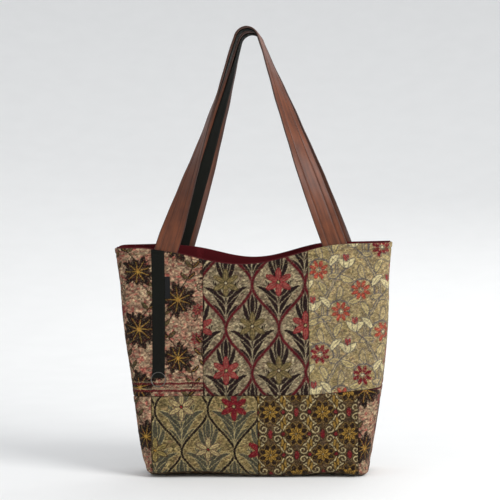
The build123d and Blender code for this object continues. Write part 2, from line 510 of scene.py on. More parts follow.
def counted(low, high, step, start):
    """Whole numbers whose places, step apart from start, fall between low and high."""
    return range(int(np.floor((low - start) / step)), int(np.ceil((high - start) / step)) + 1)


def ogee_cloth(weave, start, line, line_edge, leaf, leaf_edge, vein, flowers):
    """Pointed arches in half drop, each filled with lance leaves round a flower."""
    spacing, drop = 42.0, 138.0
    # Rise of each blade's foot, its lean, length, width and bend
    blades = [(-60, 4, 70, 8.0, 26), (-46, 14, 54, 9.0, 40), (-30, 28, 44, 8.0, 48), (-18, 52, 28, 6.5, -40)]
    blades += [(8, 34, 36, 7.5, -30), (16, 12, 40, 7.0, -16), (-58, 18, 34, 6.0, 34)]
    for column, row, left, y in weave.repeats(spacing, drop, start, lead=1):
        x = left + spacing / 2
        weave.stroke([(x, y - 60), (x, y)], 2.2, leaf, 0.9)
        for rise, lean, length, width, bend in blades:
            for side in (-1, 1):
                foot = (x + side * 1.5, y + rise)
                weave.leaf(foot, 90 - side * lean, length, width, leaf, leaf_edge, -side * bend, vein)
        weave.leaf((x, y + 20), 90, 34, 7.5, leaf, leaf_edge, vein=vein)
        petal, edge, heart = flowers[(column // 2 + row) % len(flowers)]
        weave.flower((x, y + 4), 6, 20, 6.4, petal, edge, heart, line=1.6, vein=edge)
    phase = 2 * pi * (weave.y - start[1]) / drop
    for column in weave.columns(spacing, start):
        swing = spacing / 2 if column % 2 == 0 else -spacing / 2
        curve = start[0] + column * spacing + swing * np.cos(phase)
        slope = swing * np.sin(phase) * 2 * pi / drop
        away = np.abs(weave.x - curve) / np.sqrt(1 + slope**2)
        weave.lay(away - 2.9, line_edge, 0.5)
        weave.lay(away - 2.0, line)


def stone_cloth(weave, start):
    """Dark red arches on a stone ground."""
    weave.blots((sand, 4, 2.6, 0.45, 0.8), (ash, 3.6, 2.4, 0.4, 0.8), (moss, 3, 2, 0.22, 0.7))
    weave.grain(0.7)
    ogee_cloth(weave, start, wine, ash, plum, sand, None, [(brick, rose_red, cream), (olive, moss, sand)])
    weave.flecks((plum, 0.08, 0.5), (sand, 0.05, 0.35), (wine, 0.04, 0.4))


def olive_cloth(weave, start):
    """Black arches on an olive ground."""
    weave.blots((cream, 3.6, 2.4, 0.42, 0.8), (moss, 3.6, 2.4, 0.44, 0.85), (blush, 10, 7, 0.26, 0.4))
    weave.grain(0.6)
    flowers = [(cream, ash, garnet), (claret, garnet, cream), (straw, umber, honey)]
    ogee_cloth(weave, start, ink, cream, slate, cream, moss, flowers)
    weave.flecks((ink, 0.1, 0.5), (cream, 0.08, 0.4), (blush, 0.05, 0.4))


def daisy(weave, centre, petal, edge, heart):
    """A flat flower of eight short petals."""
    for count in range(8):
        angle = 22.5 + 45 * count
        weave.leaf(centre + 5.6 * unit(angle), angle, 8.6, 4.6, petal, edge, fullness=0.5, line=0.6)
    weave.disc(centre, 6.0, blue_grey)
    weave.disc(centre, 3.6, heart)


def pale_bud(weave, x, y):
    """A pale bud with a red heart."""
    for lean in (-34, 34, 0):
        weave.leaf((x, y), 90 + lean, 19, 8.0, ivory, blue_grey, lean / 2, line=1.0)
    for lean in (-17, 17):
        weave.leaf((x, y + 11), 90 + lean, 11, 5.0, scarlet, blue_grey)


def gold_cloth(weave, start):
    """Scrolling vines that wind in to daisies and pale buds on a gold ground."""
    weave.blots((haze, 3.6, 2.4, 0.42, 0.75), (ivory, 3.2, 2.2, 0.3, 0.6))
    weave.blots((straw, 20, 15, 0.4, 0.4), (blush, 5, 3, 0.18, 0.5))
    weave.grain(0.5)
    spacing, drop, swing, reach = 66.0, 132.0, 12.0, 21.0
    tall = np.arange(weave.y.min() - 20, weave.y.max() + 20, 5.0)
    daisies = [(claret, garnet, ivory), (coral, claret, ivory), (coral, garnet, barley)]
    leaves = [(50, cream), (105, barley), (160, ivory), (215, barley), (270, cream)]
    for column in weave.columns(spacing, start):
        x = start[0] + column * spacing
        shift = start[1] + (column % 2) * drop / 4
        sign = 1 if column % 2 == 0 else -1

        def vine(y):
            return x + sign * swing * sin(2 * pi * (y - shift) / drop)

        path = [(vine(y), y) for y in tall]
        weave.stroke(path, 4.6, blue_grey, 0.6)
        weave.stroke(path, 1.4, barley)
        for step in counted(weave.y.min() - 40, weave.y.max() + 40, drop / 2, shift + drop / 4):
            y = shift + drop / 4 + step * drop / 2
            side = sign if step % 2 == 0 else -sign
            centre = np.array([vine(y) - side * (reach + 8), y])
            weave.curl(centre, reach + 2, 90 - side * 130, side * 1.25, 3.0, blue_grey, 0.7)
            for angle, fill in leaves:
                spoke = unit(angle) * [-side, 1]
                heading = degrees(atan2(spoke[1], spoke[0])) + side * 50
                foot = centre + reach * 0.94 * spoke
                weave.leaf(foot, heading, 21, 8.4, fill, blue_grey, -side * 50, haze, line=1.3)
            daisy(weave, centre, *daisies[(step + column) % len(daisies)])
            bud_x, bud_y = vine(y) + side * 15, y + 2
            weave.stroke([(vine(y - 14), y - 14), (bud_x, bud_y)], 2.4, blue_grey, 0.7)
            pale_bud(weave, bud_x, bud_y)
    weave.flecks((moss, 0.08, 0.5), (ivory, 0.1, 0.5), (blue_grey, 0.08, 0.5))


def leaf_cluster(weave, centre, size, turn):
    """A broad lobed leaf head, near black, with yellow veins."""
    angles = turn + 40 * np.arange(9)
    for lobe, angle in enumerate(angles):
        length = size * (1.0 if lobe % 2 == 0 else 0.8)
        weave.leaf(centre, angle, length, 0.34 * size, soot, bark, 14, fullness=0.7)
        for share in (0.45, 0.65):
            foot = np.array(centre) + share * length * unit(angle)
            for side in (-1, 1):
                weave.leaf(foot, angle + side * 48, 0.36 * length, 0.13 * size, soot, None, -side * 20)
    for angle in angles:
        weave.stroke([centre, np.array(centre) + 0.72 * size * unit(angle)], [1.6, 0.7], honey, 0.8)
    weave.disc(centre, 0.2 * size, honey)


def rose_cloth(weave, start):
    """Dark leaf heads, stems and curls on a mottled rose ground."""
    weave.blots((blush, 12, 8, 0.4, 0.6), (ash, 4, 2.6, 0.46, 0.8))
    weave.blots((sand, 4.5, 3, 0.42, 0.7), (scarlet, 4.5, 3, 0.3, 0.8))
    weave.grain(0.8)
    climb = np.linspace(0, 1, 14)
    for column, row, x, y in weave.repeats(62.0, 92.0, start):
        lean = 1 if (row + column) % 2 == 0 else -1
        stem = joined(x + lean * 24 * np.sin(climb * 3.0), y - 78 + 80 * climb)
        weave.stroke(stem, 1.6, soot)
        branch = joined(x + lean * (22 - 46 * climb), y - 40 + 26 * np.sin(climb * 2.2))
        weave.stroke(branch, 1.2, plum, 0.8)
        weave.curl((x - lean * 26, y - 26), 7.0, -90, -lean * 1.5, 1.5, soot, 0.8)
        for step in (3, 6, 9):
            weave.leaf(stem[step], 90 - lean * 64, 17, 6.0, soot, None, lean * 36, vein=honey)
            weave.leaf(stem[step], 90 + lean * 58, 14, 5.0, moss, soot, -lean * 30)
        leaf_cluster(weave, (x, y), 25 + 3 * ((row + column) % 3), 20 * (row + 2 * column))
        weave.flower((x + lean * 30, y + 30), 7, 8.5, 4.6, scarlet, ash, honey)
    for height in (row_height + 9, row_height + 20):
        weave.lay(np.abs(weave.y - height) - 1.7, wine, 0.7, strength=0.85)
        weave.lay(np.abs(weave.y - height - 2.8) - 0.7, sand, 0.7, strength=0.7)
    weave.flecks((soot, 0.1, 0.5), (sand, 0.1, 0.45), (scarlet, 0.08, 0.5))


def brown_cloth(weave, start):
    """Rosettes framed by pale scrolls, in half drop on a dark brown ground."""
    weave.blots((ash, 8, 6, 0.4, 0.5), (brass, 6, 4, 0.25, 0.3))
    weave.grain(0.8)
    spacing, drop = 41.0, 68.0
    for _, _, x, y in weave.repeats(spacing, drop, start):
        for side in (-1, 1):
            for up in (-1, 1):
                hand = side * up
                scroll = ((x + side * 10.5, y + up * 26), 8.2, -90 * up, hand * 1.35)
                arm = np.array([x, y]) + np.array([(10.5, 17.8), (16, 14), (20.5, 6)]) * [side, up]
                weave.curl(*scroll, 5.0, bark, 0.4)
                weave.curl(*scroll, 2.4, parchment)
                weave.stroke(arm, 4.6, bark, 0.4)
                weave.stroke(arm, 2.2, parchment)
                heading = 90 * up - hand * 20
                weave.leaf((x + side * 17, y + up * 14), heading, 13, 4.2, brass, bark, hand * 30)
            weave.disc((x + side * spacing / 2, y), 8.0, bark)
            weave.disc((x + side * spacing / 2, y), 5.4, cherry)
        weave.leaf((x, y + 27.5), 90, 13, 7.0, cherry, bark)
        weave.flower((x, y), 8, 17.0, 8.4, bark, brass, cherry, turn=22.5)
        weave.flower((x, y), 8, 11.0, 5.0, honey, bark, parchment, turn=0.0)
    weave.flecks((bark, 0.1, 0.5), (brass, 0.08, 0.4), (parchment, 0.06, 0.4))


def back_cloth(weave, start):
    """Small plain diamonds in two browns."""
    weave.blots((ash, 30, 20, 0.4, 0.4))
    half = 10.0
    across, up = (weave.x - start[0]) % (2 * half) - half, (weave.y - start[1]) % (2 * half) - half
    diamond = np.abs(across) + np.abs(up)
    weave.lay(np.abs(diamond - half) - 2.4, bark, 0.5, strength=0.75)
    weave.lay(np.abs(diamond - half) - 1.0, brass, 0.8, strength=0.8)
    weave.lay(diamond - 3.4, parchment, 0.8, strength=0.75)
    weave.flecks((bark, 0.1, 0.3))


# Meshes
def put(name, data):
    """Place data in the scene as a new object."""
    thing = bpy.data.objects.new(name, data)
    bpy.context.scene.collection.objects.link(thing)
    return thing


def add_piece(name, mesh, material, stands_in=True):
    """Place a finished mesh as a piece of the bag, where it may stand in for the node of its name."""
    piece = put(name, mesh)
    mesh.materials.append(material)
    if stands_in:
        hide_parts(name)
    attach(piece, "root")
    return piece


def add_colours(mesh, name, colours):
    """Keep a colour of four channels for each point of a mesh."""
    attribute = mesh.color_attributes.new(name, "FLOAT_COLOR", "POINT")
    attribute.data.foreach_set("color", colours.astype(np.float32).ravel())


def smooth_mesh(name, points, faces):
    """Smooth-shaded mesh of points in millimetres."""
    mesh = bpy.data.meshes.new(name)
    mesh.from_pydata((points.reshape(-1, 3) * mm).tolist(), [], faces)
    mesh.polygons.foreach_set("use_smooth", np.ones(len(faces), bool))
    return mesh


def grid_mesh(name, points, plan, ring=False, flip=False):
    """Smooth mesh over a grid of points, with a flat plan in millimetres for its threads."""
    rows, columns = points.shape[:2]
    index = np.arange(rows * columns).reshape(rows, columns)
    if ring:
        index = np.hstack([index, index[:, :1]])
    quads = joined(index[:-1, :-1], index[:-1, 1:], index[1:, 1:], index[1:, :-1]).reshape(-1, 4)
    if flip:
        quads = quads[:, ::-1]
    mesh = smooth_mesh(name, points, quads.tolist())
    flat = plan.reshape(-1, 2)
    low, high = flat.min(axis=0), flat.max(axis=0)
    for layer, places in (("OFBake", (flat - low) / (high - low)), ("Thread", flat * mm)):
        corners = places[quads.ravel()].astype(np.float32)
        mesh.uv_layers.new(name=layer).data.foreach_set("uv", corners.ravel())
    return mesh


def spread(length, pitch):
    """Shares from 0 to 1 along a length: even, with close lines at both ends for the turned edges."""
    count = max(3, round((length - 2 * edge_zone) / pitch))
    even = np.linspace(edge_zone, length - edge_zone, count)
    return np.concatenate([edge_lines, even, length - edge_lines[::-1]]) / length


def turned(distance, radius):
    """How far a turned edge falls back, this far in from its fold."""
    inside = np.clip(radius - distance, 0, radius)
    return radius - np.sqrt(radius**2 - inside**2)


def pressed(distance):
    """Ridge of the seam allowance under the cloth beside a seam."""
    past = smoothstep((distance - allowance_width) / allowance_ease)
    return allowance_rise * smoothstep(distance / allowance_ease) * (1 - past)


def level(value):
    """A height or a thickness that is the same everywhere."""
    return lambda place: value + 0 * place


def upper_foot(along):
    """Lower edge of the upper row."""
    return row_line(along) + half_gap


def lower_top(along):
    """Upper edge of the lower row."""
    return row_line(along) - half_gap


lower_foot = level(under_turn + half_gap)


def make_patch(name, seed, cloth_name, ground, cloth, pattern_start, start, end):
    """One woven patch of the upper or the lower row, between two lines up the bag."""
    hemmed = "upper" in name
    foot, top = (upper_foot, rim_over) if hemmed else (lower_foot, lower_top)
    pitch = plain_pitch if cloth is back_cloth else cloth_pitch
    wide = end(row_height) - start(row_height)
    tall = rim_height - row_height if hemmed else row_height - base_seam
    across = spread(wide, pitch)[None, :]
    up = spread(tall, pitch)[:, None]
    guess = start(row_height) + wide * across
    height = foot(guess) + up * (top(guess) - foot(guess))
    first, last = start(height), end(height)
    along = first + (last - first) * across
    height = foot(along) + up * (top(along) - foot(along))
    weave = Weave(along, height, ground, seed)
    cloth(weave, pattern_start)
    if cloth is not back_cloth:
        weave.grain(patch_grain)
    out = weave.height.reshape(along.shape) * relief
    for distance in (along - first, last - along, height - foot(along)):
        out = out - turned(distance, seam_curl) + pressed(distance)
    below_top = top(along) - height
    if hemmed:
        out = out - turned(below_top, shell_wall) + hem_rise * smoothstep((hem_width - below_top) / hem_ease)
        out = out - hem_groove * bell(below_top - hem_width, hem_groove_spread)
    else:
        out = out - turned(below_top, seam_curl) + pressed(below_top)
    mesh = grid_mesh(name, wall(along, height, out), joined(along, height))
    add_colours(mesh, "Pattern", weave.linear())
    slot = f"tapestry_{cloth_name}"
    piece = add_piece(name, mesh, tapestry[slot])
    heights = top(along[0]) - foot(along[0])


def capsules(name, centres, runs, length, radius):
    """Short rounded stitches at the given centres, lying along the given directions."""
    sides = 5
    stations = np.array([-0.5, -0.36, 0.36, 0.5]) * length
    girths = np.array([0.35, 1.0, 1.0, 0.35]) * radius
    turn = np.arange(sides) * 2 * pi / sides
    runs = runs / np.linalg.norm(runs, axis=1)[:, None]
    helper = np.where(np.abs(runs[:, 1:2]) < 0.9, [[0.0, 1.0, 0.0]], [[1.0, 0.0, 0.0]])
    side = np.cross(runs, helper)
    side /= np.linalg.norm(side, axis=1)[:, None]
    over = np.cross(side, runs)
    ring = np.cos(turn)[:, None] * side[:, None, None, :] + np.sin(turn)[:, None] * over[:, None, None, :]
    spine = centres[:, None, None, :] + stations[:, None, None] * runs[:, None, None, :]
    points = spine + girths[:, None, None] * ring
    each = len(stations) * sides
    faces = []
    for low in range(0, each - sides, sides):
        for step in range(sides):
            after = (step + 1) % sides
            faces.append([low + step, low + after, low + sides + after, low + sides + step])
    faces += [list(range(sides))[::-1], list(range(each - sides, each))]
    every = [[corner + each * part for corner in face] for part in range(len(centres)) for face in faces]
    return smooth_mesh(name, points, every)


# Materials
def rgb(colour):
    """Linear colour, opaque, from an even-light colour of 0 to 255; a socket stays as it is."""
    return (*linear_light(colour).tolist(), 1.0) if isinstance(colour, tuple) else colour


class Finish:
    """A material in the making, with its node tree and its shader."""

    def __init__(self, name, roughness, specular, sheen=0.0, metallic=0.0):
        self.material = bpy.data.materials.new(name)
        self.material.use_nodes = True
        self.tree = self.material.node_tree
        self.shader = self.tree.nodes["Principled BSDF"]
        self.feed(self.shader, {"Roughness": roughness, "Specular IOR Level": specular})
        self.feed(self.shader, {"Metallic": metallic, "Sheen Weight": sheen, "Sheen Roughness": 0.5})

    def feed(self, node, inputs):
        """Feed a node's inputs from sockets or constants."""
        for key, value in inputs.items():
            if isinstance(value, bpy.types.NodeSocket):
                self.tree.links.new(value, node.inputs[key])
            else:
                node.inputs[key].default_value = value

    def node(self, kind, output, inputs, **settings):
        """Output of a new node."""
        node = self.tree.nodes.new(f"ShaderNode{kind}")
        for key, value in settings.items():
            setattr(node, key, value)
        self.feed(node, inputs)
        return node.outputs[output]

    def place(self, stretch=(1, 1)):
        """Thread coordinates in metres, stretched by two factors."""
        plan = self.node("UVMap", "UV", {}, uv_map="Thread")
        return self.node("Mapping", "Vector", {"Vector": plan, "Scale": (*stretch, 1.0)})

    def noise(self, place, detail=2.0, low=0.0, high=1.0, scale=1.0):
        """Noise over coordinates, spread between two limits."""
        field = self.node("TexNoise", "Fac", {"Vector": place, "Scale": scale, "Detail": detail})
        return self.node("MapRange", "Result", {"Value": field, "To Min": low, "To Max": high})

    def math(self, operation, first, second):
        """Sum or product of two values."""
        return self.node("Math", "Value", {0: first, 1: second}, operation=operation)

    def mix(self, factor, first, second, blend="MIX"):
        """Mix of two colours."""
        inputs = {"Fac": factor, "Color1": rgb(first), "Color2": rgb(second)}
        return self.node("MixRGB", "Color", inputs, blend_type=blend)

    def stored(self, name, output):
        """What a mesh keeps for each point under a name."""
        return self.node("Attribute", output, {}, attribute_name=name)

    def weave(self, pitch):
        """Over-and-under height of a weave of this thread pitch in metres."""
        inputs = {"Scale": 2 * pi / 20 / pitch, "Distortion": 1.2, "Detail": 1.0}
        waves = [
            self.node("TexWave", "Fac", {"Vector": self.place(), **inputs}, bands_direction=direction)
            for direction in ("X", "Y")
        ]
        return self.math("ADD", *waves)

    def done(self, colour, height=None, strength=0.5, distance=0.0003):
        """The material, with its colour and, where a height is given, a bump."""
        self.feed(self.shader, {"Base Color": colour})
        if height is not None:
            bump = {"Height": height, "Strength": strength, "Distance": distance}
            self.feed(self.shader, {"Normal": self.node("Bump", "Normal", bump)})
        return self.material


def tapestry_material(name):
    """Jacquard cloth: woven colours broken up thread by thread."""
    finish = Finish(name, 0.92, 0.1, 0.04)
    picks = finish.noise(finish.place((700, 1500)), 2.0, 0.62, 1.38)
    patches = finish.noise(finish.place((60, 60)), 4.0, 0.84, 1.16)
    shade = finish.math("MULTIPLY", picks, patches)
    tint = finish.node("CombineColor", "Color", {"Red": shade, "Green": shade, "Blue": shade})
    colour = finish.mix(1.0, finish.stored("Pattern", "Color"), tint, "MULTIPLY")
    return finish.done(colour, finish.weave(0.0011), distance=0.0004)


def plain_cloth_material(name, colour, other, pitch, roughness):
    """Plain woven cloth, webbing or thread of two near colours."""
    finish = Finish(name, roughness, 0.12, 0.04)
    share = finish.noise(finish.place((900, 300)))
    return finish.done(finish.mix(share, colour, other), finish.weave(pitch))


def leather_material(name):
    """Reddish brown strap leather, streaked along its length and burnished dark at its edges."""
    finish = Finish(name, 0.48, 0.3)
    streaks = finish.noise(finish.place((14, 260)), 5.0, -0.15, 1.15)
    blots = finish.noise(finish.place((38, 60)), 4.0, -0.6, 1.6)
    base = finish.mix(streaks, (60, 31, 18), (130, 71, 41))
    base = finish.mix(blots, base, finish.mix(0.6, base, (52, 28, 21)))
    colour = finish.mix(finish.stored("Burnish", "Fac"), base, (58, 34, 25))
    grain = finish.node("TexVoronoi", "Distance", {"Vector": finish.place(), "Scale": 900.0})
    creases = finish.math("ADD", grain, finish.noise(finish.place((60, 700)), 3.0))
    return finish.done(colour, creases, 0.25, 0.0004)


def steel_material(name):
    """Bright plated wire with fine wear."""
    finish = Finish(name, 0.32, 0.5, metallic=1.0)
    wear = finish.noise(finish.place((300, 300)), 3.0)
    return finish.done(finish.mix(wear, (112, 109, 104), (78, 75, 71)))


def studio_material(name):
    """Pale matt paper with a faint mottle."""
    finish = Finish(name, 0.95, 0.1)
    mottle = finish.noise(finish.node("TexCoord", "Object", {}), 6.0, scale=9.0)
    return finish.done(finish.mix(mottle, (238, 238, 236), (243, 243, 241)))


tapestry_slots = [f"tapestry_{name}" for name in ("rose", "stone", "gold", "olive", "brown", "back")]
tapestry = {slot: tapestry_material(slot) for slot in tapestry_slots}
lining_cloth = plain_cloth_material("lining_cotton", (62, 8, 13), (84, 13, 19), 0.0006, 0.85)
webbing_cloth = plain_cloth_material("webbing", (7, 8, 5), (19, 20, 15), 0.0013, 0.85)
label_cloth = plain_cloth_material("label_ribbon", (14, 14, 15), (22, 22, 23), 0.0005, 0.5)
thread = plain_cloth_material("sewing_thread", (74, 46, 36), (96, 62, 48), 0.0005, 0.7)
hem_thread = plain_cloth_material("hem_thread", (92, 74, 48), (120, 98, 64), 0.0005, 0.7)
leather = leather_material("strap_leather")


# Patches of the front, the sides and the hidden back
def seam_line(quarters, offset):
    """Line up the bag, this far past a number of quarters round it from the front's middle."""
    return lambda height: quarters * quarter(height) + offset


# Cloth, ground, pattern, where the pattern starts, and the lines on both sides
patches = {
    "front_upper_left_patch": (
        "rose", beige, rose_cloth, (upper_left_seam - 40, row_height + 60),
        seam_line(-1, 0), seam_line(0, upper_left_seam - half_gap),
    ),
    "front_upper_middle_patch": (
        "stone", stone, stone_cloth, (upper_left_seam + 16, row_height - 34),
        seam_line(0, upper_left_seam + half_gap), seam_line(0, upper_right_seam - half_gap),
    ),
    "front_upper_right_patch": (
        "gold", gold, gold_cloth, (upper_right_seam + 34, row_height + 30),
        seam_line(0, upper_right_seam + half_gap), seam_line(1, 0),
    ),
    "front_lower_left_patch": (
        "olive", olive, olive_cloth, (-side_seam + 27, base_seam + 34),
        seam_line(0, -side_seam + half_gap), seam_line(0, lower_seam - half_gap),
    ),
    "front_lower_right_patch": (
        "brown", umber, brown_cloth, (lower_seam + 20, base_seam + 30),
        seam_line(0, lower_seam + half_gap), seam_line(0, side_seam - half_gap),
    ),
    "right_side_panel": (
        "rose", beige, rose_cloth, (side_seam + 12, base_seam + 40),
        seam_line(0, side_seam + half_gap), seam_line(2, -side_seam - half_gap),
    ),
    "left_side_panel": (
        "rose", beige, rose_cloth, (-side_seam - 8, base_seam + 62),
        seam_line(-2, side_seam + half_gap), seam_line(0, -side_seam - half_gap),
    ),
    "back_upper_panel": (
        "back", walnut, back_cloth, (0, 0), seam_line(1, half_gap), seam_line(3, -half_gap),
    ),
    "back_lower_panel": (
        "back", walnut, back_cloth, (0, 0),
        seam_line(2, -side_seam + half_gap), seam_line(2, side_seam - half_gap),
    ),
}
first_seed = 21
for seed, (name, plan) in enumerate(patches.items(), first_seed):
    make_patch(name, seed, *plan)

# Base and lining are made of rings round the bag
ring_count = 260
ring_share = np.arange(ring_count) / ring_count


def floor_ring(margin, height):
    """Ring in the flat of the base, this far in from the base's outer line."""
    half_width, half_depth = base_half_width - margin, max(base_half_depth - margin, 0.01)
    radius = min(max(form_radii[0] - margin, 2.0), half_depth)
    whole = half_width + half_depth - 2 * radius + radius * pi / 2
    x, y, _, _ = round_about(4 * whole * ring_share, half_width, half_depth, radius)
    return joined(x, y, height + base_lift(x, y, height))


def close_up(mesh, near=0.00005):
    """Join points that lie on each other, such as those of a last ring, folded on the middle line."""
    work = bmesh.new()
    work.from_mesh(mesh)
    bmesh.ops.remove_doubles(work, verts=work.verts, dist=near)
    work.to_mesh(mesh)
    work.free()
    return mesh


def ring_plan(rings):
    """Thread plan for rings: straight down on the base, so its threads run square."""
    return joined(rings[:, :, 0], rings[:, :, 1] + rings[:, :, 2])


def make_base():
    """Base panel: its turned edge under the bag, then rings in to its middle line."""
    heights = (under_turn - half_gap, 0.5, 0.1)
    rows = [wall(4 * quarter(height) * ring_share, np.full(ring_count, height), 0) for height in heights]
    rows += [floor_ring(margin, 0.0) for margin in np.linspace(base_round + 1, base_half_depth, 16)]
    rings = np.stack(rows)
    plan = ring_plan(rings)
    weave = Weave(plan[:, :, 0], plan[:, :, 1], walnut, first_seed + len(patches))
    back_cloth(weave, (0, 0))
    mesh = grid_mesh("base_panel", rings, plan, ring=True, flip=True)
    add_colours(mesh, "Pattern", weave.linear())
    piece = add_piece("base_panel", close_up(mesh), tapestry["tapestry_back"])


make_base()

strap_stack = strap_clearance + strap_thickness + sewing_gap + webbing_thickness
foot_x = strap_spacing / 2


def pocket(x, y, height):
    """How far the lining stands in behind the strap ends."""
    aside = np.abs(np.abs(x) - foot_x - pocket_shift)
    span = smoothstep((pocket_half_width - aside) / pocket_side_ease)
    deep = smoothstep((height - rim_height + strap_end + pocket_drop) / pocket_foot_ease)
    flat = smoothstep((np.abs(y) - pocket_turn) / pocket_turn_ease)
    return (strap_stack + pocket_slack) * span * deep * flat


def lining_ring(height, inset):
    """Ring of the lining at a height for each place, this far in from the bag's outer face."""
    along = 4 * quarter(height) * ring_share
    x, y, _, _ = round_about(along, *form(height))
    return wall(along, height, -inset - pocket(x, y, height))


def make_lining():
    """Lining: rolled over the rim, down the wall and in to the floor's middle line."""
    rim = rim_over(4 * quarter(rim_height) * ring_share)
    roll = [(2.2, -7.0), (2.1, -2.0), (2.1, 0.6), (2.3, 1.2), (2.7, lining_proud), (3.1, 1.2)]
    roll += [(lining_inset, rise) for rise in (0.4, -2.0, -lining_turn)]
    rows = [lining_ring(rim + rise, inset) for inset, rise in roll]
    top = rim - lining_turn
    for share in np.linspace(0, 1, 40)[1:]:
        rows.append(lining_ring(top - (top - lining_foot) * share, lining_inset))
    turn_heights = (11.0, 7.5, 5.2)
    rows += [lining_ring(np.full(ring_count, height), lining_inset) for height in turn_heights]
    margins = np.linspace(base_round + 2, base_half_depth, 14)
    rows += [floor_ring(margin, lining_floor) for margin in margins]
    rings = np.stack(rows)
    mesh = close_up(grid_mesh("lining", rings, ring_plan(rings), ring=True, flip=True))
    piece = add_piece("lining", mesh, lining_cloth)


make_lining()

# Straps follow the CAD model's line: a leg that twists a quarter turn, then the round of the hook
strap_round = hook_radius + webbing_thickness + sewing_gap + strap_thickness / 2
hook_height = strap_top - strap_round - strap_thickness / 2
foot_y = -(rim_half_depth - shell_wall - strap_clearance - strap_thickness / 2)
hook_rise = hook_height - rim_height
hook_reach = hypot(foot_x, hook_rise)
leg_lean = atan2(foot_x, hook_rise) - asin(strap_round / hook_reach)
leg_length = hook_reach * cos(asin(strap_round / hook_reach))
leg_run = np.array([sin(leg_lean), 0, cos(leg_lean)])
leg_level = np.array([cos(leg_lean), 0, -sin(leg_lean)])
outward = np.array([0.0, -1.0, 0.0])
arc_length = strap_round * (pi / 2 - leg_lean)
half_length = leg_length + arc_length
leg_stations = np.arange(-strap_end, leg_length, station_pitch)
half_stations = np.concatenate([leg_stations, leg_length + arc_length * np.linspace(0, 1, 13)])
whole_stations = np.concatenate([half_stations, 2 * half_length - half_stations[-2::-1]])


def strap_frame(distance, haste):
    """Centre, direction across and direction inwards of the front strap's left half, from the rim up.

    The leg makes most of its turn near the rim where haste is large, and turns evenly where it is near zero.
    """
    if distance <= leg_length:
        share = max(0, distance - twist_start) / (leg_length - twist_start)
        turn = radians(90) * (1 - exp(-haste * share)) / (1 - exp(-haste))
        across = leg_level * cos(turn) + outward * sin(turn)
        centre = np.array([-foot_x, foot_y, rim_height]) + leg_run * distance
        return centre, across, np.cross(leg_run, across)
    angle = leg_lean + (distance - leg_length) / strap_round
    inwards = np.array([cos(angle), 0, -sin(angle)])
    return np.array([0, foot_y, hook_height]) - strap_round * inwards, outward, inwards


def leather_wobble(distance, across):
    """Slight waves that leather takes in use, still at the sewn end."""
    free = float(smoothstep(distance / leather_still))
    wave = sum(
        size * np.sin(distance / length + across / width + phase)
        for size, length, width, phase in leather_waves
    )
    return free * wave * (np.abs(across) / (strap_width / 2)) ** 0.5


def half_rings(section, haste):
    """Rings of a strap's left half, from its sewn end to the top of the hook."""
    rings = []
    for distance in half_stations:
        centre, across, inwards = strap_frame(distance, haste)
        lift = leather_wobble(distance, section[:, 0])
        rings.append(centre + section[:, :1] * across + (section[:, 1:] + lift[:, None]) * inwards)
    return np.stack(rings)


def swayed(points, stations, sways):
    """Points of a strap, its left and right legs set over sideways at the rim and less towards the hook."""
    moved = points.copy()
    sway = np.where(points[..., 0] < 0, *sways)
    moved[..., 0] += sway * np.clip(1 - stations / leg_length, 0, 1)
    return moved


def strap_mesh(name, section, mirror, sways, hastes):
    """Mesh of one section all along a strap: the left half, then a mirrored half down the right side."""
    left = half_rings(section, hastes[0])
    right = half_rings(section, hastes[1])[-2::-1] * [-1, 1, 1]
    from_end = np.minimum(whole_stations, 2 * half_length - whole_stations)[:, None]
    rings = swayed(np.concatenate([left, right]) * [1, mirror, 1], from_end, sways)
    girth = np.concatenate([[0], np.cumsum(np.linalg.norm(np.diff(section, axis=0), axis=1))])
    return grid_mesh(name, rings, joined(whole_stations[:, None], girth), ring=True, flip=mirror > 0)


def leather_section():
    """Closed section of the leather: eased edges, two pressed stitch lines, a flat inner face."""
    half, thick = strap_width / 2, strap_thickness / 2
    edge = half - np.array([0, 0.3, 0.9, 2, 4.5, 7])
    groove = groove_offset + np.array([1, 0.5, 0, -0.5, -1])
    right = np.concatenate([edge, groove, [6, 3, 0]])
    across = np.concatenate([-right, right[-2::-1]])
    pressed_in = groove_depth * bell(np.abs(across) - groove_offset, groove_spread)
    outer = joined(across, turned(half - np.abs(across), 1.0) + pressed_in - thick)
    inner_across = np.array([half, half - 0.4, 12, 6, 0, -6, -12, 0.4 - half, -half])
    inner = joined(inner_across, thick - turned(half - np.abs(inner_across), 0.5))
    return np.concatenate([outer, inner])


def burnish(section):
    """How dark the leather is at each point of its section: at its edges, stitch lines and inner face."""
    away = np.abs(section[:, 0])
    near_edge = smoothstep((away - strap_width / 2 + edge_burnish_width) / edge_burnish_ease)
    edges = np.clip(edge_burnish * near_edge, 0, 1)
    stitch_lines = groove_burnish * bell(away - groove_offset, groove_burnish_spread)
    inner_face = inner_burnish * (section[:, 1] > 0)
    return np.max([edges, stitch_lines, inner_face], axis=0)


def webbing_section():
    """Closed section of the webbing on the strap's inner face."""
    half, low = webbing_width / 2, strap_thickness / 2 + sewing_gap
    across = np.array([-half, -half + 0.4, -half / 2, 0, half / 2, half - 0.4, half])
    drop = np.array([0.5, 0, 0, 0, 0, 0, 0.5])
    upper = joined(across, low + webbing_thickness - drop)[::-1]
    return np.concatenate([joined(across, low), upper])


